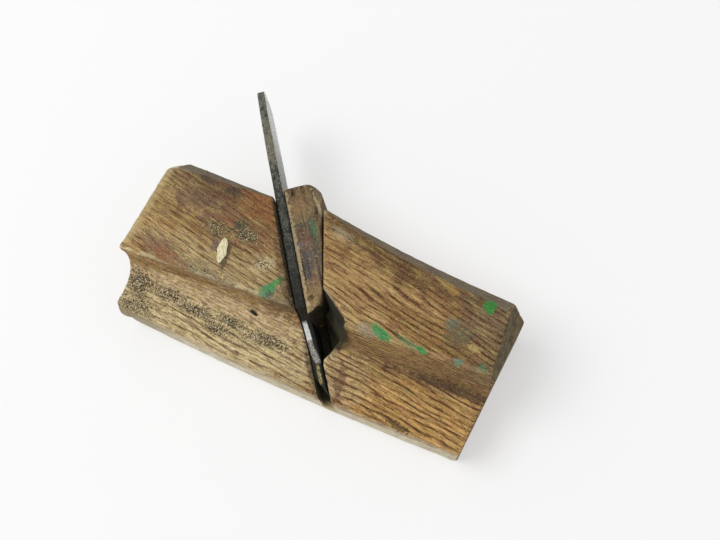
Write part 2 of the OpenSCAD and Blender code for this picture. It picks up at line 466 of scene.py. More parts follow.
def stripe(low: float, high: float, shift: float, colour: Colour, strength: float, width: float,
           depth: float = 6.0, grain: float = 2.5) -> Stain:
    """A narrow stain along the bed, on the open side.

    Args:
        low: Lower end, up the bed.
        high: Upper end, up the bed.
        shift: Distance out from the bed.
        colour: Its colour.
        strength: How much it covers.
        width: Half its width.
        depth: Half its depth below the open side.
        grain: Size of its ragged edge.

    Returns:
        The stain.
    """
    return Stain(on_bed(shift, (low + high) / 2, 36.0), (width, (high - low) / 2, depth), colour, strength,
                 math.degrees(BED_LEAN), Edge.UNEVEN, grain)


GREEN = tint(62, 142, 76)
DULL_GREEN = tint(74, 134, 96)
BLACK = tint(42, 41, 32)
DEEP = tint(88, 84, 64)

TONES = (
    Stain((-50, 24, 38), (30, 8, 10), tint(108, 88, 70), 0.75, -10, Edge.UNEVEN, 9),
    Stain((-45, 31, 38), (50, 8, 12), tint(100, 80, 60), 0.65, 0, Edge.FADED, 9),
    Stain((-27, 22, 38), (14, 15, 8), tint(164, 106, 56), 0.62, -10, Edge.UNEVEN, 5),
    Stain((-68, 16, 38), (8, 14, 8), tint(178, 152, 104), 0.5, 0, Edge.UNEVEN, 5),
    Stain((-34, 12, 38), (22, 9, 8), tint(138, 116, 86), 0.5, -10, Edge.UNEVEN, 5),
    Stain((-28, -3, 38), (42, 8, 8), tint(196, 178, 132), 0.7, 0, Edge.UNEVEN, 6),
    Stain((42, 29, 36), (52, 13, 13), tint(100, 78, 48), 0.85, -10, Edge.UNEVEN, 6),
    Stain((72, 6, 36), (14, 20, 12), tint(124, 110, 86), 0.75, 0, Edge.UNEVEN, 5),
    Stain((54, 1, 38), (20, 8, 8), tint(158, 118, 66), 0.5, -10, Edge.UNEVEN, 4),
    Stain((-35, -23, 20), (62, 13, 10), tint(236, 219, 170), 0.85, 0, Edge.UNEVEN, 7),
    Stain((56, -24, 20), (30, 12, 9), tint(228, 179, 106), 0.65, 0, Edge.UNEVEN, 6),
    Stain((27, -22, 19), (9, 12, 9), tint(216, 186, 140), 0.6, 0, Edge.UNEVEN, 4),
    Stain((-35, -15, 27), (60, 4, 8), tint(224, 196, 154), 0.8, 3, Edge.UNEVEN, 4),
    Stain((60, -9, 27), (40, 4, 9), tint(158, 126, 88), 0.7, 3, Edge.UNEVEN, 4),
)

MARKS = (
    Stain((-60, -6, 38), (8, 4, 4), tint(116, 84, 76), 0.5, -10, Edge.UNEVEN, 3),
    Stain((-52, -8.5, 38), (9, 2.4, 4), tint(150, 92, 56), 0.45, -10, Edge.UNEVEN, 3),
    Stain((-58.7, 17.3, 38), (9, 5, 3), tint(92, 70, 64), 0.45, -10, Edge.CRUMBLED, 3),
    Stain((-42.8, 26.8, 38), (3.4, 2.0, 3), tint(52, 48, 42), 0.65, -10, Edge.UNEVEN, 2),
    Stain((-57.1, 28.3, 38), (3.4, 1.6, 3), tint(56, 50, 44), 0.55, -10, Edge.UNEVEN, 2),
    Stain((-33.6, 14.7, 38), (2.6, 2.2, 3), tint(52, 58, 48), 0.8, 0, Edge.CRUMBLED, 1.6),
    Stain((-41.4, 9.6, 38), (5, 3, 3), tint(104, 96, 66), 0.6, 0, Edge.CRUMBLED, 1.0),
    Stain((-29.1, 11.4, 38), (5.5, 3, 3), tint(92, 90, 68), 0.65, -10, Edge.CRUMBLED, 1.0),
    Stain((-40.1, 15, 38), (5, 2, 3), tint(124, 76, 64), 0.4, -10, Edge.UNEVEN, 2),
    Stain((-38.6, 3.2, 38), (1.7, 2.6, 3), tint(92, 78, 76), 0.7, 10, Edge.UNEVEN, 2),
    Stain((-38, -8.3, 37), (14, 2.6, 4), tint(124, 114, 92), 0.5, 0, Edge.CRUMBLED, 1.8),
    Stain((-16.4, 3.0, 38), (4, 2.2, 3), tint(206, 194, 156), 0.5, 40, Edge.CRUMBLED, 0.9),
    Stain((-10.4, -6.2, 38), (3.4, 2.5, 3), DULL_GREEN, 0.85, 50, Edge.BRUSHED, 1.6),
    Stain((-9.0, -2.6, 38), (4.2, 1.3, 3), GREEN, 0.8, 60, Edge.BRUSHED, 1.6),
    Stain((68.2, 19.3, 38), (2.4, 2.5, 3), tint(52, 132, 60), 0.92, 0, Edge.ROUND, 2.0),
    Stain((36.0, -4.7, 38), (5.0, 1.9, 3), tint(60, 140, 82), 0.9, -20, Edge.BRUSHED, 1.6),
    Stain((46.4, -4.4, 38), (4.0, 1.2, 3), DULL_GREEN, 0.45, -10, Edge.CRUMBLED, 1.2),
    Stain((52.0, -4.9, 38), (2.5, 1.0, 3), tint(56, 140, 80), 0.85, -10, Edge.BRUSHED, 1.4),
    Stain((65.2, -4.0, 38), (1.9, 1.3, 3), tint(92, 134, 116), 0.7, 40, Edge.BRUSHED, 1.4),
    Stain((74.0, -2.6, 38), (2.0, 1.0, 3), DULL_GREEN, 0.5, 0, Edge.CRUMBLED, 1.2),
    Stain((68.6, 2.8, 38), (2.3, 1.1, 3), tint(190, 168, 108), 0.7, -10, Edge.BRUSHED, 1.6),
    Stain((58.0, 8.4, 38), (2.3, 2.2, 3), tint(116, 120, 106), 0.6, 0, Edge.BRUSHED, 1.6),
    Stain((61.9, 5.4, 38), (5, 3.4, 3), tint(92, 92, 72), 0.6, -20, Edge.CRUMBLED, 1.6),
    Stain((30.6, -6.4, 38), (4.2, 2.1, 4), tint(152, 144, 128), 0.6, -20, Edge.CRUMBLED, 1.2),
    Stain((6, 26.1, 38), (4.6, 1.8, 3), tint(152, 146, 122), 0.5, -10, Edge.CRUMBLED, 1.0),
    Stain((51.4, 20.9, 38), (5, 1.6, 3), tint(196, 160, 96), 0.4, -20, Edge.UNEVEN, 1.6),
    Stain((25.5, -23.4, 19), (2.0, 7.5, 4), tint(98, 68, 48), 0.65, 10, Edge.CRUMBLED, 1.8),
    # Darker patch at the heel end of the sole: painted shade.
    Stain((-72, -31, 10), (19, 4, 10), tint(138, 122, 92), 0.65, 0, Edge.FADED, 6),
    Stain((51.5, -29.6, 18), (4.6, 1.3, 3), tint(64, 50, 36), 0.75, -10, Edge.CRUMBLED, 1.2),
    Stain((40, -15.5, 20), (9, 1.2, 3), tint(112, 104, 62), 0.4, -10, Edge.CRUMBLED, 1.6),
    # Dark strip in the inner corner under the toe's shoulder: painted shade.
    Stain((66, -9.6, 23), (30, 1.7, 5), tint(66, 48, 38), 0.75, 3, Edge.UNEVEN, 2.5),
    Stain((-4, -8.5, 34), (7, 4.5, 9), tint(58, 48, 38), 0.5, 20, Edge.CRUMBLED, 2.2),
    Stain((-16.9, -12.4, 23.6), (1.9, 0.75, 1.6), tint(12, 10, 8), 1.0, -10, Edge.ROUND, 1.3),
    stripe(30, 86, -0.3, tint(34, 32, 26), 0.9, 0.9),
    stripe(28, 62, -2.0, tint(70, 56, 40), 0.55, 1.8, grain=1.6),
    stripe(-6, 24, -1.1, tint(66, 48, 38), 0.8, 1.4, 20.0, 2.0),
    # Painted shadow of the pale flake on the wood beside it.
    Stain((-32.4, 0.8, 38), (1.5, 6.0, 3), tint(70, 56, 40), 0.75, 10, Edge.UNEVEN, 2.0),
)

GRIT = tint(128, 112, 84)

GROUND_IN = tuple(
    Stain(at, size, GRIT, 0.85, turn, Edge.CRUMBLED, 1.2)
    for at, size, turn in (
        ((-69, -18.5, 21), (7, 4.5, 5), 0), ((-66, -27, 19), (9, 4.5, 4), 0),
        ((-54, -18.5, 21), (10, 3.0, 4), 0), ((-40, -19.6, 20), (8, 2.4, 4), 0),
        ((-29, -23, 20), (6, 2.4, 4), -10), ((-25, -18.6, 20), (7, 2.2, 4), 0),
        ((-8, -19.6, 20), (10, 2.8, 4), 3),
    )
)


@dataclass(frozen=True)
class WornOak:
    """Old bare oak with dark pores, patina, paint specks and dirt, and painted shade and highlights."""

    name: str = "stock_oak"
    grain: Grain = Grain(0.0, 1.75, (-75.0, -40.0), 12.0, 2.3, (0.11, 0.22), (19.0, 37.0), (-5.0, 30.0))
    light: Colour = tint(205, 168, 114)
    deep: Colour = tint(168, 132, 83)
    plum: Colour = tint(90, 54, 32)
    olive: Colour = tint(98, 68, 30)
    worn: Colour = tint(208, 194, 160)
    sole: Colour = tint(246, 237, 210)
    end_bevel: tuple[float, float, float] = (0.956, 0.082, 0.282)

    def wood(self, graph: Graph, place: Socket, dust_and_glint: Socket) -> tuple[Socket, Socket, Socket]:
        """Draws the bare wood.

        Args:
            graph: The material's graph.
            place: Coordinates in millimetres.
            dust_and_glint: Fine specks of dust and painted glints.

        Returns:
            The wood's colour, its dark streaks and its fibres.
        """
        _, across, height = graph.split(place)
        streak, fibre, tone, hue = self.grain.draw(graph, place)
        colour = graph.mix(graph.rise(tone, 0.38, 0.62), self.light, self.deep)
        for stain in TONES:
            colour = stain.lay(graph, place, colour)
        colour = graph.mix(graph.rise(hue, 0.5, 0.68) * 0.5, colour, tint(182, 166, 100))
        colour = graph.mix(graph.rise(hue, 0.5, 0.32) * 0.5, colour, tint(132, 88, 68))
        # Pale sole: burnished bare wood, made paler still with a painted highlight from the floor's bounced light.
        bare = graph.rise(graph.facing((0, -1, 0)), 0.7, 0.93) * graph.rise(across, -24, -27)
        bare = bare * (1 - graph.rise(height + (fibre - 0.5) * 6, 10.5, 15.5) * 0.65)
        colour = graph.mix(bare * 0.92, colour, self.sole)
        pore = graph.mix(graph.rise(hue, 0.4, 0.6), self.plum, self.olive)
        slant = graph.rise(graph.facing((0, -0.75, 0.66)), 0.8, 0.95)
        colour = graph.mix(streak * 0.95 * (1 - bare * 0.8) * (1 - slant * 0.45), colour, pore)
        colour = graph.mix(graph.rise(fibre, 0.38, 0.6) * 0.45, colour, tint(122, 94, 64), Blend.DARKEN)
        # Pale specks: painted glints scattered among the dust.
        colour = graph.mix(graph.rise(dust_and_glint, 0.6, 0.74) * 0.3, colour, tint(216, 202, 160))
        colour = graph.mix(graph.rise(dust_and_glint, 0.44, 0.3) * 0.5, colour, tint(56, 42, 28))
        return colour, streak, fibre

    def edges(self, graph: Graph, place: Socket, dust_and_glint: Socket, colour: Socket) -> Socket:
        """Lays greyed chamfers, painted shade on the toe end and its bevel, rubbed arrises with a painted highlight
        along the heel edge, and crevices darkened with dirt and painted shade over the wood.
        """
        along, across, _ = graph.split(place)
        ragged = (dust_and_glint - 0.5) * 0.8
        patches = graph.noise(place, (7.0, 3.0, 3.0), 3.0, 0.6)
        top = graph.rise(graph.facing((0, 0.707, 0.707)) + ragged * 0.1, 0.86, 0.96) * graph.rise(across, 8, 14)
        colour = graph.mix(top * (0.5 + patches * 0.5), colour, tint(112, 104, 90))
        # Toe end bevel darkened: painted shade.
        bevel = graph.rise(graph.facing(self.end_bevel) + ragged * 0.03, 0.94, 0.985)
        bevel_shade = graph.mix(graph.rise(patches, 0.35, 0.6), tint(64, 57, 40), tint(106, 96, 70))
        colour = graph.mix(bevel * 0.8, colour, bevel_shade)
        # Toe end face darkened: painted shade.
        end = graph.rise(graph.facing((0.995, -0.066, -0.077)), 0.94, 0.98) * graph.rise(across, -10, -6)
        colour = graph.mix(end * 0.6, colour, tint(104, 92, 70))
        arris = graph.rise(graph.mark("arris") + ragged, 0.25, 0.8)
        rear = graph.rise(along, 20, 0)
        colour = graph.mix(arris * (0.1 + rear * graph.rise(patches, 0.42, 0.58) * 0.45), colour, self.worn)
        # Pale line along the heel edge: worn arris and painted highlight.
        colour = graph.mix(arris * graph.rise(along, -69, -73) * 0.7, colour, tint(224, 214, 178))
        rim = graph.rise(along + ragged * 4, -70.5, -74.0) * graph.rise(graph.facing((0, 0, 1)), 0.4, 0.8)
        rim = rim * graph.rise(across, -12, -8)
        colour = graph.mix(rim * 0.45, colour, tint(208, 190, 142))
        # Crevices darkened: dirt and painted shade.
        crevice = graph.rise(graph.mark("crevice") + ragged, 0.2, 0.8)
        return graph.mix(crevice * 0.5, colour, tint(66, 52, 38))

    def throat(self, graph: Graph, place: Socket) -> tuple[Socket, Socket, Socket]:
        """Finds the walls inside the throat, blackened with packed dirt and painted shade, and the painted shade on
        the wood beside it.

        Args:
            graph: The material's graph.
            place: Coordinates in millimetres.

        Returns:
            Share of black inside, share of painted shade round the opening, and share of bare wood at the mouth.
        """
        out, up = graph.on_bed(place)
        _, _, height = graph.split(place)
        rough = graph.noise(place, (2.2, 2.2, 2.2), 3.0, 0.6) - 0.5
        opening = graph.least(4.3 + (up - 12) * 1.69, 17.2 - (up - 20.9) * 0.38)
        slot = (11.8 + (up - 35) * 0.196) * graph.rise(up, 33, 34)
        wall = graph.most(graph.most(opening, 4.3), slot)
        inside = graph.rise(wall + 0.5 - out, 0.0, 0.4) * graph.rise(out, -0.5, -0.1)
        hidden = graph.most(graph.rise(graph.facing((0, 0, 1)), 0.85, 0.6), graph.rise(height, 17.6, 17.2))
        hidden = hidden * (1 - graph.rise(up, 33, 34) * graph.rise(height, 16.2, 15.8))
        cheek = graph.rise(up, 3.5, 1.0) * graph.rise(height, 13, 9)
        # Painted shade round the throat's opening, which makes the hole look wider than it is.
        edge = graph.least(17.2 - (up - 20.9) * 0.38, 16.9) + rough * 4
        near = graph.rise(edge + 1.9 - out, 0.0, 3.0) * graph.rise(out, 3, 6)
        painted_hole_shade = near * graph.rise(up + rough * 3, 14.6, 17.2) * graph.rise(up, 33, 29)
        packed = 1 - graph.rise(up, 37, 46) * 0.35
        return inside * hidden * (1 - cheek) * packed, painted_hole_shade, inside * cheek

    def paint(self) -> bpy.types.Material:
        """Builds the material."""
        graph = Graph.named(self.name)
        place = graph.millimetres()
        dust_and_glint = graph.noise(place, (0.95, 0.95, 0.95), 3.0, 0.7)
        colour, streak, fibre = self.wood(graph, place, dust_and_glint)
        colour = self.edges(graph, place, dust_and_glint, colour)
        gritty = reduce(graph.most, (stain.cover(graph, place) for stain in GROUND_IN))
        speck = graph.noise(place, (0.6, 0.6, 0.6), 2.0, 0.7)
        colour = graph.mix(gritty * 0.45, colour, tint(128, 112, 84))
        colour = graph.mix(gritty * graph.rise(speck, 0.5, 0.4) * 0.85, colour, tint(58, 47, 34))
        colour = graph.mix(gritty * graph.rise(speck, 0.56, 0.66) * 0.85, colour, tint(216, 200, 158))
        for stain in MARKS:
            colour = stain.lay(graph, place, colour)
        colour = graph.mix(graph.rise(speck, 0.48, 0.3) * 0.45, colour, tint(56, 46, 34))
        colour = graph.mix(graph.rise(speck, 0.54, 0.74) * 0.3, colour, tint(216, 198, 156))
        hole, painted_hole_shade, mouth = self.throat(graph, place)
        # Painted shade round the throat's opening.
        colour = graph.mix(painted_hole_shade * 0.95, colour, tint(48, 43, 31))
        colour = graph.mix(mouth * 0.9, colour, tint(190, 176, 140))
        _, _, height = graph.split(place)
        # Black inside the throat: packed dirt and painted shade.
        colour = graph.mix(hole, colour, graph.mix(graph.rise(height, 14, 31), DEEP, BLACK))
        height = fibre * 0.14 - streak * 0.14 + graph.noise(place, (2.4, 1.2, 1.2), 3.0) * 0.16
        return graph.surface(colour, 0.66 + dust_and_glint * 0.25, height, specular=0.16)


@dataclass(frozen=True)
class WedgeWood:
    """Worn reddish-brown wood whose grain runs along the wedge."""

    name: str = "wedge_wood"
    grain: Grain = Grain(127.0, 1.9, (30.0, -40.0), 9.0, 1.1)
    light: Colour = tint(156, 132, 99)
    deep: Colour = tint(112, 95, 70)

    def marks(self) -> tuple[Stain, ...]:
        """Stains on the wedge, laid in this order."""
        lean = math.degrees(BED_LEAN)
        return (
            Stain((-16, 34, 35), (8, 4, 5), tint(122, 100, 72), 0.6, lean, Edge.UNEVEN, 3),
            Stain((-17, 31, 35), (3, 4, 4), tint(132, 84, 54), 0.5, lean, Edge.CRUMBLED, 2),
            Stain(on_bed(17.5, 80, 35), (1.8, 5, 4), tint(92, 88, 76), 0.6, lean, Edge.CRUMBLED, 1.3),
            Stain(on_bed(9, 70, 35), (4, 6, 5), tint(146, 126, 90), 0.5, lean, Edge.UNEVEN, 2),
            Stain((-5, 14, 35), (5.5, 13, 4), tint(96, 88, 80), 0.65, lean, Edge.CRUMBLED, 3),
            Stain((-9, 20, 35), (3, 5, 3), tint(122, 80, 60), 0.4, lean, Edge.CRUMBLED, 2),
            Stain((4.8, -1.0, 35), (4, 7, 5), tint(158, 130, 88), 0.6, lean, Edge.CRUMBLED, 2),
            Stain((-6.6, 24.8, 35), (1.3, 4.2, 3), tint(70, 116, 84), 0.65, lean, Edge.CRUMBLED, 1.2),
            Stain((-3.4, 13.6, 35), (1.2, 3.6, 3), tint(80, 78, 84), 0.6, lean, Edge.CRUMBLED, 1.2),
            Stain((1.2, 6.6, 35), (1.2, 4.0, 3), tint(66, 72, 80), 0.6, lean, Edge.CRUMBLED, 1.2),
            Stain((3.4, 5.6, 35), (0.8, 3.0, 3), tint(160, 104, 74), 0.45, lean, Edge.CRUMBLED, 1.2),
            Stain((-8.2, 16.8, 35), (1.5, 1.4, 2), tint(150, 138, 134), 0.45, 0, Edge.CRUMBLED, 1.0),
            Stain((-8.2, 16.8, 35), (0.8, 0.7, 2), tint(92, 78, 82), 0.7, 0, Edge.CRUMBLED, 1.0),
            Stain(on_bed(5.9, 45, 35), (0.3, 9, 3), tint(36, 28, 22), 0.85, lean, Edge.RAGGED, 1.5),
            Stain(on_bed(9.5, 66, 35), (0.25, 8, 3), tint(52, 40, 32), 0.6, lean + 3, Edge.RAGGED, 1.5),
            Stain(on_bed(4.7, 54, 35.2), (0.9, 28, 1.6), tint(192, 174, 134), 0.55, lean, Edge.CRUMBLED, 1.3),
            Stain(on_bed(16.6, 70, 35.2), (0.6, 9, 2), tint(186, 172, 138), 0.5, lean + 10, Edge.CRUMBLED, 1.0),
            Stain(on_bed(5.2, 31, 35), (1.0, 0.8, 3), tint(206, 196, 160), 0.4, lean, Edge.CRUMBLED, 0.9),
            Stain(on_bed(6.6, 33.5, 35), (1.3, 1.1, 3), tint(52, 44, 34), 0.7, lean, Edge.CRUMBLED, 0.9),
        )

    def paint(self) -> bpy.types.Material:
        """Builds the material."""
        graph = Graph.named(self.name)
        place = graph.millimetres()
        streak, fibre, tone, hue = self.grain.draw(graph, place)
        dust_and_glint = graph.noise(place, (0.8, 0.8, 0.8), 3.0, 0.75)
        colour = graph.mix(graph.rise(tone, 0.38, 0.62), self.light, self.deep)
        colour = graph.mix(graph.rise(hue, 0.5, 0.3) * 0.4, colour, tint(118, 88, 84))
        colour = graph.mix(streak * 0.85, colour, tint(50, 38, 26))
        colour = graph.mix(graph.rise(fibre, 0.38, 0.6) * 0.55, colour, tint(116, 94, 70), Blend.DARKEN)
        arris = graph.rise(graph.mark("arris") + (dust_and_glint - 0.5) * 0.8, 0.3, 0.9)
        colour = graph.mix(arris * 0.35, colour, tint(190, 172, 136))
        for stain in self.marks():
            colour = stain.lay(graph, place, colour)
        head = graph.rise(graph.facing(self.way_up()), 0.4, 0.8)
        colour = graph.mix(head * 0.6, colour, tint(104, 78, 54))
        colour = graph.mix(graph.rise(dust_and_glint, 0.54, 0.7) * 0.5, colour, tint(190, 170, 128))
        colour = graph.mix(graph.rise(dust_and_glint, 0.46, 0.3) * 0.6, colour, tint(44, 36, 28))
        # Faces turned away from the open side darkened: painted shade.
        below = graph.rise(graph.facing((0, 0, 1)), 0.3, -0.2)
        colour = graph.mix(below * 0.5, colour, tint(60, 44, 34))
        # The wedge's foot, down in the throat: painted shade, black and without gloss.
        foot = graph.rise(graph.facing(self.way_up()) + (dust_and_glint - 0.5) * 0.4, -0.4, -0.75)
        height = fibre * 0.16 - streak * 0.12 + dust_and_glint * 0.16
        return graph.surface(colour, 0.64 + dust_and_glint * 0.25, height, specular=0.16, painted_shade=foot * 0.95)

    def way_up(self) -> Point:
        """Direction up along the bed."""
        return (-math.sin(BED_LEAN), math.cos(BED_LEAN), 0.0)


@dataclass(frozen=True)
class DarkSteel:
    """Forged steel, dark and pitted, with rust, packed dirt, rubbed bright places and a painted reflection on its
    clean front.
    """

    name: str = "iron_steel"
    dark: Colour = tint(44, 45, 39)
    scale: Colour = tint(84, 85, 75)
    top: Colour = tint(110, 112, 102)
    dirt: Colour = tint(40, 40, 33)
    bright: Colour = tint(232, 233, 229)

    def paint(self) -> bpy.types.Material:
        """Builds the material."""
        graph = Graph.named(self.name)
        place = graph.millimetres()
        out, up = graph.on_bed(place)
        lean = math.degrees(BED_LEAN)
        mottle = graph.noise(graph.turned(place, lean), (1.6, 4.0, 1.6), 4.0, 0.7)
        pits = graph.noise(place, (0.7, 0.7, 0.7), 3.0, 0.8)
        front = graph.rise(graph.facing((math.cos(BED_LEAN), math.sin(BED_LEAN), 0)), 0.3, 0.8)
        near = graph.rise(graph.facing((0, 0, 1)), 0.3, 0.7)
        free = graph.rise(up + (mottle - 0.5) * 12, 91, 100)
        clear = graph.rise(up + (mottle - 0.5) * 12, 76, 84) * (0.5 + graph.rise(up, 95, 122) * 0.5)
        colour = graph.mix(graph.rise(mottle, 0.4, 0.62), self.dark, self.scale)
        colour = graph.mix(free * graph.rise(mottle, 0.3, 0.55) * 0.8, colour, self.top)
        rust = Stain(on_bed(2, 106, 35), (4, 11, 3), tint(130, 121, 100), 0.5, lean, Edge.CRUMBLED, 2)
        colour = rust.lay(graph, place, colour)
        # Clean front of the iron near white: clean steel and a painted reflection.
        colour = graph.mix(front * clear * graph.rise(pits, 0.36, 0.48), colour, self.bright)
        colour = graph.mix(front * clear * graph.rise(mottle, 0.52, 0.36) * 0.3, colour, self.scale)
        packed = graph.rise(up + (mottle - 0.5) * 14, 66, 40)
        colour = graph.mix(packed * (0.95 - graph.rise(pits, 0.5, 0.62) * 0.4), colour, self.dirt)
        colour = graph.mix(packed * graph.rise(mottle, 0.52, 0.42) * 0.6, colour, tint(20, 21, 19))
        colour = graph.mix(graph.rise(pits, 0.56, 0.7) * 0.5 * (1.1 - packed), colour, tint(168, 168, 156))
        sides = near * graph.rise(up + (mottle - 0.5) * 10, 50, 26)
        colour = graph.mix(sides * 0.85, colour, tint(22, 21, 18))
        astray = out + (mottle - 0.5) * 1.2
        leant = astray + (up - 13.5) * 0.2
        rubbed = near * graph.between(up, 22.3, 28.5, 0.6) * graph.rise(astray, 2.35, 1.9)
        strip = near * graph.between(up, 13.5, 22.8, 0.7) * graph.between(leant, 1.5, 3.7, 0.25)
        crust = near * graph.between(up, 5.2, 12.6, 0.8) * graph.between(astray, 1.6, 2.8, 0.25)
        grey = graph.mix(graph.rise(pits, 0.35, 0.6), tint(92, 82, 80), tint(184, 180, 168))
        colour = graph.mix(rubbed * 0.95, colour, self.bright)
        colour = graph.mix(strip * 0.85, colour, grey)
        olive = graph.mix(graph.rise(pits, 0.4, 0.6), tint(112, 100, 48), tint(180, 164, 116))
        colour = graph.mix(crust * 0.9, colour, olive)
        specks = near * graph.rise(up, 4, 1) * graph.rise(pits, 0.57, 0.63)
        colour = graph.mix(specks * 0.9, colour, tint(226, 222, 206))
        colour = graph.mix(graph.rise(pits, 0.45, 0.36) * (0.75 - packed * 0.4), colour, tint(30, 29, 24))
        arris = graph.rise(graph.mark("arris") + (pits - 0.5) * 1.2, 0.45, 1.0)
        colour = graph.mix(arris * free * 0.3, colour, tint(160, 160, 152))
        height = graph.rise(pits, 0.33, 0.5) * 0.1 + mottle * 0.12
        shine = (0.4 - packed * 0.35 + rubbed * 0.3)
        return graph.surface(colour, 0.45 + mottle * 0.35, height, metallic=shine, specular=0.25)


@dataclass(frozen=True)
class Grains:
    """Loose grit, each grain of nearly one colour."""

    name: str
    colour: Colour
    other: Colour

    def paint(self) -> bpy.types.Material:
        """Builds the material."""
        graph = Graph.named(self.name)
        shade = graph.noise(graph.millimetres(), (0.8, 0.8, 0.8), 1.0)
        colour = graph.mix(graph.rise(shade, 0.35, 0.65), self.colour, self.other)
        return graph.surface(colour, 0.8, specular=0.3)


@dataclass(frozen=True)
class BareFlake:
    """Pale dry flake with tan flecks."""

    name: str = "bare_flake"

    def paint(self) -> bpy.types.Material:
        """Builds the material."""
        graph = Graph.named(self.name)
        place = graph.millimetres()
        fleck = graph.noise(graph.turned(place, -73), (1.6, 0.7, 0.7), 3.0, 0.7)
        colour = graph.mix(graph.rise(fleck, 0.45, 0.6), tint(232, 225, 188), tint(204, 192, 146))
        colour = graph.mix(graph.rise(fleck, 0.6, 0.68), colour, tint(150, 122, 88))
        # Flake's edges darkened: painted shade.
        side = graph.rise(graph.facing((0, 0, 1)), 0.45, 0.1)
        colour = graph.mix(side * 0.6, colour, tint(116, 100, 66))
        return graph.surface(colour, 0.75, fleck * 0.3, specular=0.3)


@dataclass(frozen=True)
class PaleFloor:
    """Plain white paper below the tool, which shows white to the camera and keeps its shadow."""

    name: str = "floor_paper"
    lit: float = 0.5
    glow: float = 0.45

    def paint(self) -> bpy.types.Material:
        """Builds the material."""
        graph = Graph.named(self.name)
        seen = graph.seen()
        colour = graph.mix(seen, (0.9, 0.9, 0.9, 1.0), (self.lit, self.lit, self.lit, 1.0))
        glow = graph.mix(seen, (0.0, 0.0, 0.0, 1.0), (self.glow, self.glow, self.glow, 1.0))
        shader = graph.node("ShaderNodeBsdfPrincipled", None,
                            {"Base Color": colour, "Roughness": 0.9, "Specular IOR Level": 0.0,
                             "Emission Color": glow, "Emission Strength": 1.0})
        graph.node("ShaderNodeOutputMaterial", None, {"Surface": shader})
        return graph.owner


@dataclass(frozen=True)
class Dent:
    """A place where the surface is knocked or worn in."""

    at: Point
    radius: float
    depth: float


@dataclass(frozen=True)
class Rub:
    """A stretch from one place to another where edges are worn rounder than elsewhere."""

    start: Point
    end: Point
    radius: float

    def reach(self, places: np.ndarray) -> np.ndarray:
        """How much each place is rubbed, from 0 to 1."""
        start, way = np.array(self.start), np.array(self.end) - np.array(self.start)
        share = np.clip((places - start) @ way / max(way @ way, 1e-9), 0, 1)
        away = np.linalg.norm(places - start - share[:, None] * way, axis=1)
        return np.clip(1.6 * (1 - away / self.radius), 0, 1)


def select_only(piece: bpy.types.Object) -> None:
    """Deselects everything and makes one object selected and active."""
    bpy.ops.object.select_all(action="DESELECT")
    piece.select_set(True)
    bpy.context.view_layer.objects.active = piece


def read_places(piece: bpy.types.Object) -> np.ndarray:
    """Points of a piece's mesh, one row each, in millimetres."""
    flat = np.empty(len(piece.data.vertices) * 3)
    piece.data.vertices.foreach_get("co", flat)
    return flat.reshape(-1, 3) / MM


def write_places(piece: bpy.types.Object, places: np.ndarray) -> None:
    """Moves the points of a piece's mesh to places in millimetres."""
    piece.data.vertices.foreach_set("co", (places * MM).ravel())
    piece.data.update()


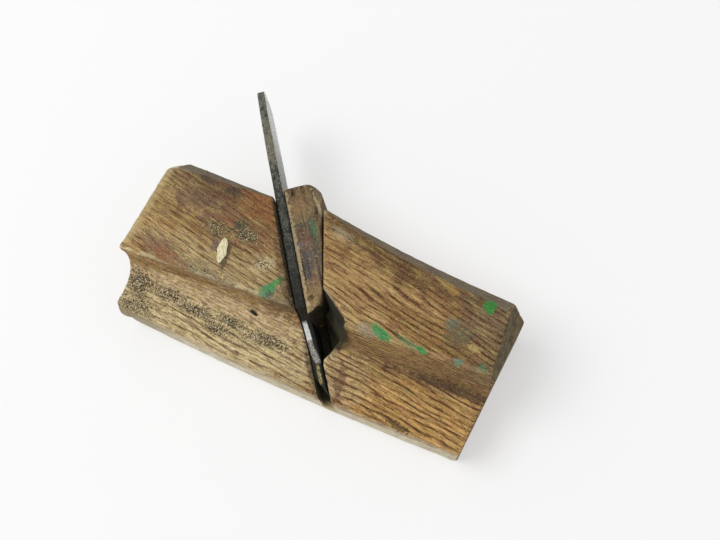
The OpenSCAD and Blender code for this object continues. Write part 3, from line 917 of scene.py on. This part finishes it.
@dataclass
class WornPiece:
    """A CAD solid that is given back the worn edges, dents and relief of the real piece."""

    node: str
    name: str
    body: str
    slot: str
    voxel: float
    rounding: int
    waviness: float
    nibble: float
    seed: float
    rubbing: int = 24
    dents: tuple[Dent, ...] = ()
    rubs: tuple[Rub, ...] = ()

    def finish(self) -> bpy.types.Material:
        """The piece's material."""
        raise NotImplementedError

    def take_form(self) -> bpy.types.Object:
        """Copies the CAD solid as one closed mesh."""
        cad = frame["nodes"][self.node]
        select_only(cad)
        bpy.ops.object.duplicate()
        piece = bpy.context.view_layer.objects.active
        piece.parent = None
        piece.matrix_world = Matrix.Identity(4)
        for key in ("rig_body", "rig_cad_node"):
            del piece[key]
        piece.name = piece.data.name = self.name
        piece.data.materials.clear()
        select_only(piece)
        bpy.ops.object.mode_set(mode="EDIT")
        bpy.ops.mesh.select_all(action="SELECT")
        bpy.ops.mesh.remove_doubles(threshold=0.001 * MM)
        bpy.ops.mesh.normals_make_consistent(inside=False)
        bpy.ops.object.mode_set(mode="OBJECT")
        return piece

    def apply(self, kind: str, **settings: object) -> None:
        """Adds a modifier to the active object and applies it.

        Args:
            kind: Type of the modifier.
            **settings: Its settings.
        """
        bpy.ops.object.modifier_add(type=kind)
        made = bpy.context.view_layer.objects.active.modifiers[-1]
        for name, value in settings.items():
            setattr(made, name, value)
        bpy.ops.object.modifier_apply(modifier=made.name)

    def normals(self, piece: bpy.types.Object) -> np.ndarray:
        """Normals of the mesh's points."""
        flat = np.empty(len(piece.data.vertices) * 3)
        piece.data.vertices.foreach_get("normal", flat)
        return flat.reshape(-1, 3)

    def keep_mark(self, piece: bpy.types.Object, name: str, values: np.ndarray) -> None:
        """Stores a number at each point for the material."""
        made = piece.data.attributes.new(name, "FLOAT", "POINT")
        made.data.foreach_set("value", values.astype(np.float32))

    def wear(self, piece: bpy.types.Object, sharp: np.ndarray) -> None:
        """Marks arrises and crevices, and moves the points where the piece is worn.

        Args:
            piece: The softened piece.
            sharp: Its points before it was softened.
        """
        soft, normals = read_places(piece), self.normals(piece)
        lift = ((soft - sharp) * normals).sum(axis=1)
        reach = self.voxel * 0.45
        arris = np.clip(-lift / reach, 0, 1)
        self.keep_mark(piece, "arris", arris)
        self.keep_mark(piece, "crevice", np.clip(lift / reach, 0, 1))
        shift = Vector((self.seed, self.seed * 0.7, 0))
        depth = np.zeros(len(soft))
        for index, point in enumerate(soft):
            spot = Vector(point) + shift
            broad = 0.5 + 0.5 * noise.noise(spot / 16.0)
            fine = 0.5 + 0.5 * noise.noise(spot / 3.6)
            bite = max(0.0, noise.noise(spot / 2.6) + 0.1)
            depth[index] = self.waviness * (broad + 0.4 * fine) + self.nibble * arris[index] * bite
        for dent in self.dents:
            away = np.linalg.norm(soft - np.array(dent.at), axis=1) / dent.radius
            depth += dent.depth * np.clip(1 - away * away, 0, 1) ** 2
        write_places(piece, soft - normals * depth[:, None])

    def rub_edges(self, piece: bpy.types.Object) -> None:
        """Wears the rubbed stretches rounder than the rest.

        Args:
            piece: The softened piece.
        """
        places = read_places(piece)
        share = np.max([rub.reach(places) for rub in self.rubs], axis=0)
        group = piece.vertex_groups.new(name="rubbed")
        steps = np.round(share * 8).astype(int)
        for step in range(1, 9):
            group.add([int(index) for index in np.flatnonzero(steps == step)], step / 8, "REPLACE")
        self.apply("SMOOTH", factor=0.5, iterations=self.rubbing, vertex_group=group.name)
        piece.vertex_groups.clear()

    def build(self) -> bpy.types.Object:
        """Builds and dresses the piece.

        Returns:
            The finished piece.
        """
        piece = self.take_form()
        self.apply("REMESH", mode="VOXEL", voxel_size=self.voxel * MM)
        self.apply("SMOOTH", factor=0.5, iterations=1)
        sharp = read_places(piece)
        self.apply("SMOOTH", factor=0.5, iterations=self.rounding)
        if self.rubs:
            self.rub_edges(piece)
        self.wear(piece, sharp)
        bpy.ops.object.shade_smooth()
        piece.data.materials.append(self.finish())
        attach(piece, self.body)
        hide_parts(self.node)
        LOG.info("%s: %d points", self.name, len(piece.data.vertices))
        return piece


@dataclass
class Stock(WornPiece):
    """The oak body."""

    node: str = "stock"
    name: str = "worn_stock"
    body: str = "stock_body"
    slot: str = "stock_wood"
    voxel: float = 0.66
    rounding: int = 7
    waviness: float = 0.12
    nibble: float = 0.45
    seed: float = 11.0
    dents: tuple[Dent, ...] = (
        Dent((-16.9, -12.4, 23.6), 1.8, 0.9),
        Dent((71, -8.6, 22), 2.6, 0.5),
        Dent((-75.8, 35.0, 33.0), 6.0, 0.6),
        Dent((-75.5, -10.4, 36.0), 3.6, -0.6),
        Dent((-75.3, -31.0, 11.0), 7.5, -1.6),
    )
    rubs: tuple[Rub, ...] = (
        Rub((-70, -12.2, 38), (8, -8.2, 38), 3.2),
        Rub((24, -6, 38), (42, -6.2, 38), 5.0),
        Rub((42, -6.2, 38), (78, -4.2, 38), 3.5),
        Rub(on_bed(14, 31, 38), on_bed(17.2, 20.4, 37), 3.2),
        Rub(on_bed(17.2, 20.4, 36), on_bed(7, 14, 21), 4.2),
        Rub((-75, 34, 38), (-68, 33, 36), 7.0),
        Rub((74, 24, 38), (79, 22, 30), 7.5),
    )

    def finish(self) -> bpy.types.Material:
        """The piece's material."""
        return WornOak().paint()


@dataclass
class Iron(WornPiece):
    """The steel cutter, whose top end has been hammered for years: shorter, and spread to the back."""

    node: str = "iron"
    name: str = "forged_iron"
    body: str = "iron_body"
    slot: str = "iron_steel"
    voxel: float = 0.33
    rounding: int = 3
    waviness: float = 0.05
    nibble: float = 0.25
    seed: float = 37.0
    length: float = 135.0
    middle: float = 2.0
    driven: float = 1.1
    spread: float = 0.4

    def finish(self) -> bpy.types.Material:
        """The piece's material."""
        return DarkSteel().paint()

    def wear(self, piece: bpy.types.Object, sharp: np.ndarray) -> None:
        """Wears the piece and drives its top end back.

        Args:
            piece: The softened piece.
            sharp: Its points before it was softened.
        """
        super().wear(piece, sharp)
        places = read_places(piece)
        foot = np.array([*BED_FOOT, 0.0])
        ahead = np.array([math.cos(BED_LEAN), math.sin(BED_LEAN), 0.0])
        upward = np.array([-math.sin(BED_LEAN), math.cos(BED_LEAN), 0.0])
        share = np.clip(((places - foot) @ upward - self.length + 40) / 40, 0, 1)
        out = np.minimum((places - foot) @ ahead - self.middle, 0)
        places += np.outer(out * share * self.spread, ahead) - np.outer(share ** 3 * self.driven, upward)
        write_places(piece, places)


@dataclass
class Wedge(WornPiece):
    """The wooden wedge."""

    node: str = "wedge"
    name: str = "worn_wedge"
    body: str = "wedge_body"
    slot: str = "wedge_wood"
    voxel: float = 0.33
    rounding: int = 8
    waviness: float = 0.1
    nibble: float = 0.4
    seed: float = 53.0
    dents: tuple[Dent, ...] = (
        Dent(on_bed(9.8, 29.8, 33.0), 5.4, -2.0),
        Dent(on_bed(18.0, 80.0, 34.0), 4.0, 0.5),
    )
    rubs: tuple[Rub, ...] = (
        Rub(on_bed(4.0, 27.5, 35.0), on_bed(7.0, 30.0, 35.0), 3.2),
    )

    def finish(self) -> bpy.types.Material:
        """The piece's material."""
        return WedgeWood().paint()


@dataclass
class Litter:
    """Loose grit that lies in the hollow behind the iron, and the pale flake on the heel.

    Each heap is its middle, its reach along and across, and its share of the grains.
    """

    count: int = 2500
    heaps: tuple[tuple[float, float, float, float, float], ...] = (
        (-69.2, -18.3, 5.0, 3.6, 0.26),
        (-67.0, -27.4, 6.5, 2.4, 0.10),
        (-55.6, -18.2, 8.0, 1.9, 0.09),
        (-41.3, -19.6, 5.0, 1.3, 0.14),
        (-29.4, -23.2, 4.0, 1.4, 0.09),
        (-25.4, -18.6, 5.0, 1.3, 0.10),
        (-8.7, -19.8, 6.0, 1.6, 0.15),
        (-38.0, -21.0, 26.0, 4.5, 0.07),
        (-41.4, 9.8, 4.6, 2.4, 0.05),
        (-29.1, 11.4, 5.0, 2.2, 0.05),
        (-16.4, 3.0, 3.4, 1.8, 0.025),
        (-38.0, -8.6, 14.0, 1.6, 0.03),
    )
    sizes: tuple[float, float] = (0.28, 0.68)
    top: float = 60.0
    seed: int = 5

    def drop(self, tree: BVHTree, along: float, across: float) -> tuple[Vector, Vector] | None:
        """Finds the surface below a place.

        Args:
            tree: The stock's surface.
            along: Place along the body.
            across: Place up the body.

        Returns:
            The point and its normal in metres, or None beside the stock.
        """
        hit, normal, _, _ = tree.ray_cast(Vector((along, across, self.top)) * MM, Vector((0, 0, -1)))
        return None if hit is None or normal.z < 0.3 else (hit, normal)

    def grain(self, name: str) -> bpy.types.Object:
        """Models one broken grain, a millimetre across."""
        bpy.ops.mesh.primitive_ico_sphere_add(subdivisions=1, radius=0.5 * MM, location=(0, 0, 0))
        grain = bpy.context.view_layer.objects.active
        grain.name = name
        bpy.ops.object.mode_set(mode="EDIT")
        bpy.ops.mesh.select_all(action="SELECT")
        bpy.ops.transform.resize(value=(1.0, 0.75, 0.6))
        bpy.ops.transform.vertex_random(offset=0.09 * MM, seed=self.seed)
        bpy.ops.object.mode_set(mode="OBJECT")
        return grain

    def strew(self, name: str, finish: Grains, tree: BVHTree, draws: random.Random, share: float) -> None:
        """Strews one colour of grit over the heaps.

        Args:
            name: Name of the piece.
            finish: Its finish.
            tree: The stock's surface.
            draws: Source of chance.
            share: This colour's share of all grains.
        """
        first = self.grain(name)
        parts = [first]
        for along, across, reach_along, reach_across, part in self.heaps:
            for _ in range(int(self.count * share * part)):
                spot = self.drop(tree, draws.gauss(along, reach_along * 0.6), draws.gauss(across, reach_across * 0.6))
                size = draws.uniform(*self.sizes)
                turn = Euler([draws.uniform(0, math.tau) for _ in range(3)])
                if spot is None:
                    continue
                copy = bpy.data.objects.new(name, first.data.copy())
                bpy.context.scene.collection.objects.link(copy)
                place = spot[0] + spot[1] * (size * 0.25 * MM)
                copy.data.transform(Matrix.Translation(place) @ turn.to_matrix().to_4x4() @ Matrix.Scale(size, 4))
                parts.append(copy)
        first.data.transform(Matrix.Translation(parts[-1].data.vertices[0].co) @ Matrix.Scale(self.sizes[0], 4))
        bpy.ops.object.select_all(action="DESELECT")
        for part in parts:
            part.select_set(True)
        bpy.context.view_layer.objects.active = first
        bpy.ops.object.join()
        first.name = first.data.name = name
        first.data.materials.append(finish.paint())
        self.settle(first)
        LOG.info("%s: %d grains", name, len(parts))

    def flake(self, tree: BVHTree) -> None:
        """Models the pale flake that is stuck to the heel's face."""
        length, width, thick = 5.4, 2.0, 0.75
        hit, _ = self.drop(tree, -34.6, 2.0)
        bpy.ops.mesh.primitive_ico_sphere_add(subdivisions=5, radius=1.0 * MM, location=(0, 0, 0))
        piece = bpy.context.view_layer.objects.active
        piece.name = piece.data.name = "pale_flake"
        unit = read_places(piece)
        spots = [Vector((point[0] * 2.2, point[1] * 1.4, 7.3)) for point in unit]
        ragged = np.array([noise.noise(spot * 1.3) for spot in spots])
        lumps = np.array([noise.noise(spot * 3.1) for spot in spots])
        along, across, up = unit.T
        spread = 1.0 - 0.45 * np.clip(along, -0.4, 1) ** 2 + 0.4 * ragged * np.abs(across)
        shape = np.column_stack((length * along * (1 + 0.1 * ragged), width * across * spread,
                                 thick * (np.cbrt(up) * (1 + 0.5 * lumps))))
        write_places(piece, shape)
        piece.data.transform(Matrix.Translation(hit) @ Matrix.Rotation(math.radians(-74), 4, "Z"))
        select_only(piece)
        bpy.ops.object.shade_smooth()
        piece.data.materials.append(BareFlake().paint())
        self.settle(piece)
        LOG.info("pale_flake: %d points", len(piece.data.vertices))

    def settle(self, piece: bpy.types.Object) -> None:
        """Lets a piece ride on the stock."""
        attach(piece, "stock_body")

    def build(self, stock: bpy.types.Object) -> None:
        """Builds grit and flake on the finished stock.

        Args:
            stock: The worn stock.
        """
        tree = BVHTree.FromObject(stock, bpy.context.evaluated_depsgraph_get())
        draws = random.Random(self.seed)
        dark = Grains("grit_dark", tint(44, 37, 27), tint(92, 78, 55))
        pale = Grains("grit_pale", tint(238, 228, 198), tint(190, 172, 130))
        self.strew("dark_grit", dark, tree, draws, 0.55)
        self.strew("pale_grit", pale, tree, draws, 0.45)
        self.flake(tree)


@dataclass
class Studio:
    """Floor, light and camera."""

    floor_size: float = 9.0
    eye: Point = (96.278, -73.789, 291.243)
    right: Point = (0.897648, 0.421877, -0.127466)
    down: Point = (0.342116, -0.849369, -0.401906)
    ahead: Point = (-0.277821, 0.317162, -0.906765)
    lens: float = 37.5
    sensor: float = 36.0
    sky: float = 0.6
    lamp_watts: float = 31.0
    lamp_size: float = 1.7
    lamp_from: Point = (-1.26, -0.45, 1.99)
    backdrop: float = 0.95

    def lay_floor(self) -> None:
        """Lays the floor under the tool."""
        bpy.ops.mesh.primitive_plane_add(size=self.floor_size, location=(0, 0, -0.02 * MM))
        floor = bpy.context.view_layer.objects.active
        floor.name = "floor"
        floor.data.materials.append(PaleFloor().paint())

    def light(self) -> None:
        """Adds a soft lamp from the heel's side and even light from all round."""
        bpy.ops.object.light_add(type="AREA", location=self.lamp_from)
        lamp = bpy.context.view_layer.objects.active
        lamp.data.shape = "DISK"
        lamp.data.size = self.lamp_size
        lamp.data.energy = self.lamp_watts
        lamp.rotation_mode = "QUATERNION"
        lamp.rotation_quaternion = (-Vector(self.lamp_from)).to_track_quat("-Z", "Y")
        world = bpy.data.worlds.new("even_light")
        bpy.context.scene.world = world
        graph = Graph(world)
        strength = graph.node("ShaderNodeMapRange", None,
                              {"Value": graph.seen(), "To Min": self.sky, "To Max": self.backdrop})
        back = graph.node("ShaderNodeBackground", None, {"Color": (1, 1, 1, 1), "Strength": strength})
        graph.node("ShaderNodeOutputWorld", None, {"Surface": back})

    def place_camera(self) -> None:
        """Puts the camera where the photograph was taken from."""
        data = bpy.data.cameras.new("camera")
        data.lens, data.sensor_width, data.sensor_fit = self.lens, self.sensor, "HORIZONTAL"
        data.clip_start, data.clip_end = 0.01, 20.0
        camera = bpy.data.objects.new("camera", data)
        bpy.context.scene.collection.objects.link(camera)
        axes = Matrix((self.right, tuple(-part for part in self.down), tuple(-part for part in self.ahead)))
        camera.matrix_world = Matrix.Translation(Vector(self.eye) * MM) @ axes.transposed().to_4x4()
        bpy.context.scene.camera = camera

    def build(self) -> None:
        """Builds the whole stage."""
        self.place_camera()
        self.lay_floor()
        self.light()
        bpy.context.scene.view_settings.view_transform = "Standard"
        LOG.info("studio: floor, light and camera")


def main() -> None:
    """Builds the plane and its studio."""
    logging.basicConfig(level=logging.INFO, format="%(message)s")
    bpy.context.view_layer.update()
    Studio().build()
    stock = Stock().build()
    Iron().build()
    Wedge().build()
    Litter().build(stock)


if __name__ == "__main__":
    main()
